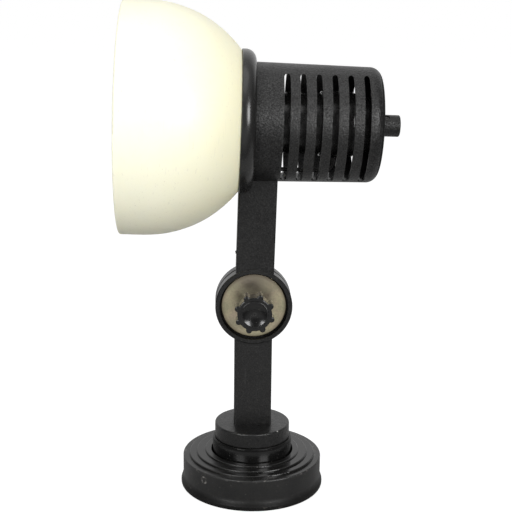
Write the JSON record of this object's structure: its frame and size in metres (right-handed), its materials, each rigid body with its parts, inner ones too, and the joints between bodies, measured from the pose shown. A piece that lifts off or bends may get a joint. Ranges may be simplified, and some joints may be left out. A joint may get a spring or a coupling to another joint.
{
  "type": "adjustable spotlight",
  "caption": "Surface-mounted adjustable spotlight: round swivel base, clamped elbow arm, slotted lamp housing and opal bowl shade.",
  "frame": {"origin": "centre of the round base in the plane of its rim, which meets the wall, ceiling or table", "axes": "+Z away from the mounting surface along the swivel axis; -Y towards the clamp knob, along the elbow joint's axis; the shade opens towards -X"},
  "size_m": [0.1407, 0.1164, 0.2546],
  "materials": {
    "black_canopy": "satin moulded black",
    "black_satin": "satin moulded black",
    "black_textured": "fine spark-eroded texture, matt black",
    "black_gloss": "polished black",
    "black_knob": "slightly textured black",
    "black_screw": "blackened steel",
    "phenolic": "glossy black thermoset",
    "opal": "ivory opal, soft gloss, faint scratches",
    "yellow_zinc": "yellow-passivated zinc plate, satin",
    "zinc_steel": "zinc-plated sheet",
    "steel": "zinc-plated",
    "nickel": "nickel-plated",
    "brass": "plain",
    "white_nylon": "moulded",
    "fibre": "red vulcanised fibre",
    "lead_sheath": "extruded sheath",
    "frosted_glass": "frosted inside",
    "black_glass": "vitrified"
  },
  "bodies": {
    "base": {"base_canopy": "black_canopy", "neck_ring": "black_gloss", "neck_screws": "steel", "mounting_plate": "zinc_steel", "canopy_screws": "black_screw", "terminal_block": "white_nylon", "terminal_screws": "steel"},
    "swivel": {"swivel_drum": "black_satin", "swivel_nipple": "steel", "swivel_washer": "steel", "swivel_spring": "steel", "swivel_nut": "steel", "foot_dowels": "steel", "lower_arm": "black_satin", "lower_arm_cover": "black_satin", "lower_cover_screws": "black_screw", "lower_leads": "lead_sheath", "knuckle_bolt": "steel", "friction_washer": "fibre"},
    "clamp_plate": {"pressure_plate": "yellow_zinc"},
    "clamp_knob": {"star_knob": "black_gloss", "knob_insert": "brass"},
    "head": {"upper_arm": "black_satin", "upper_arm_cover": "black_satin", "upper_cover_screws": "black_screw", "upper_leads": "lead_sheath", "head_screws": "steel", "lamp_housing": "black_textured", "collar_ring": "black_gloss", "shade": "opal", "shade_ring_nut": "black_gloss", "lampholder_skirt": "phenolic", "lampholder_cap": "phenolic", "screw_shell": "brass", "centre_contact": "brass", "holder_screws": "steel", "switch_body": "phenolic", "switch_screws": "black_screw", "bulb_glass": "frosted_glass", "bulb_cap": "nickel", "bulb_insulator": "black_glass", "bulb_tip": "nickel"},
    "switch": {"switch_spindle": "steel", "switch_knob": "black_knob", "switch_grub_screw": "black_screw"}
  },
  "joints": [
    {"name": "base_swivel", "type": "hinge", "parent": "base", "child": "swivel", "pos_m": [0, 0, 0.0268], "axis": [0, 0, 1], "range_deg": [-165, 165]},
    {"name": "elbow_tilt", "type": "hinge", "parent": "swivel", "child": "head", "pos_m": [0, 0, 0.1003], "axis": [0, 1, 0], "range_deg": [-90, 90]},
    {"name": "clamp_travel", "type": "slide", "parent": "swivel", "child": "clamp_plate", "axis": [0, -1, 0], "range_m": [0, 0.00081]},
    {"name": "clamp_turn", "type": "hinge", "parent": "clamp_plate", "child": "clamp_knob", "pos_m": [0, -0.014, 0.1003], "axis": [0, -1, 0], "range_deg": [0, 360]},
    {"name": "switch_turn", "type": "hinge", "parent": "head", "child": "switch", "pos_m": [0.06556, 0, 0.19328], "axis": [0.9997, 0, -0.0236], "continuous": true}
  ],
  "couplings": [
    {"joint": "clamp_travel", "follows": "clamp_turn", "m_per_rad": 0.00012732}
  ]
}
